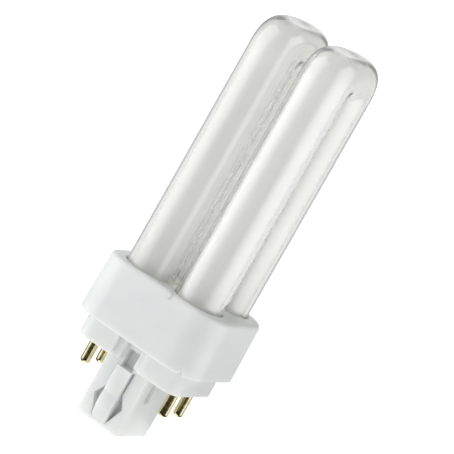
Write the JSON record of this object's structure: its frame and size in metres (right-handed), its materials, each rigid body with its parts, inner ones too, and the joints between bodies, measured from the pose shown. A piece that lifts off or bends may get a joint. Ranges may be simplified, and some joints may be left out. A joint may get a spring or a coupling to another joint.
{
  "type": "compact fluorescent lamp",
  "caption": "Plug-in energy-saving lamp: upright U-shaped glass tubes in a white collar, over a stepped platform with brass contact pins and a square key post.",
  "frame": {"origin": "middle of the key post's flat end, at the lamp's lowest point", "axes": "+Z along the lamp to the tube tops, X across the two U tubes, Y from the front legs to the rear legs"},
  "size_m": [0.0342, 0.0294, 0.1014],
  "materials": {
    "coated_glass": "clear glass, milky white coating inside, glossy",
    "white_moulding": "white heat-resistant moulding, satin",
    "cement": "cast cement, matt",
    "pin_brass": "turned brass, bright",
    "lead_wire": "plain nickel wire"
  },
  "bodies": {
    "root": {"discharge_tube": "coated_glass", "collar": "white_moulding", "tube_cement": "cement", "pin_base": "white_moulding", "contact_pin_1": "pin_brass", "contact_pin_2": "pin_brass", "contact_pin_3": "pin_brass", "contact_pin_4": "pin_brass", "lead_wire_1": "lead_wire", "lead_wire_2": "lead_wire", "lead_wire_3": "lead_wire", "lead_wire_4": "lead_wire"}
  },
  "joints": []
}
